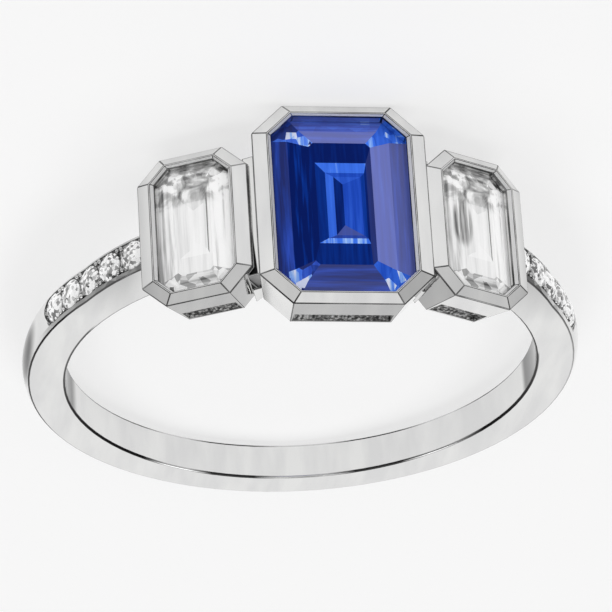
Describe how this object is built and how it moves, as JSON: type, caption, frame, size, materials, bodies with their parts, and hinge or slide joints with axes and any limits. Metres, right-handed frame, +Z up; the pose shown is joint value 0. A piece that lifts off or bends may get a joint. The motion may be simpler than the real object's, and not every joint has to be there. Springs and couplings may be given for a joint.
{
  "type": "three stone ring",
  "caption": "Finger ring in polished white metal with a blue step cut stone between two white ones in bevelled bezels, and small round stones on the shoulders.",
  "frame": {"origin": "centre of the ring's footprint on the surface it lies on, at its lowest points", "axes": "+Z up, away from the surface; the stones face -Y and the back of the hoop is towards +Y; X runs across the row of stones"},
  "size_m": [0.02, 0.022, 0.0077],
  "materials": {
    "white_gold": "mirror polished white gold",
    "blue_stone": "polished facets",
    "white_stone": "polished facets"
  },
  "bodies": {
    "root": {"setting": "white_gold", "middle_stone": "blue_stone", "left_stone": "white_stone", "right_stone": "white_stone", "left_round_1": "white_stone", "left_round_2": "white_stone", "left_round_3": "white_stone", "left_round_4": "white_stone", "left_round_5": "white_stone", "right_round_1": "white_stone", "right_round_2": "white_stone", "right_round_3": "white_stone", "right_round_4": "white_stone", "right_round_5": "white_stone"}
  },
  "joints": []
}
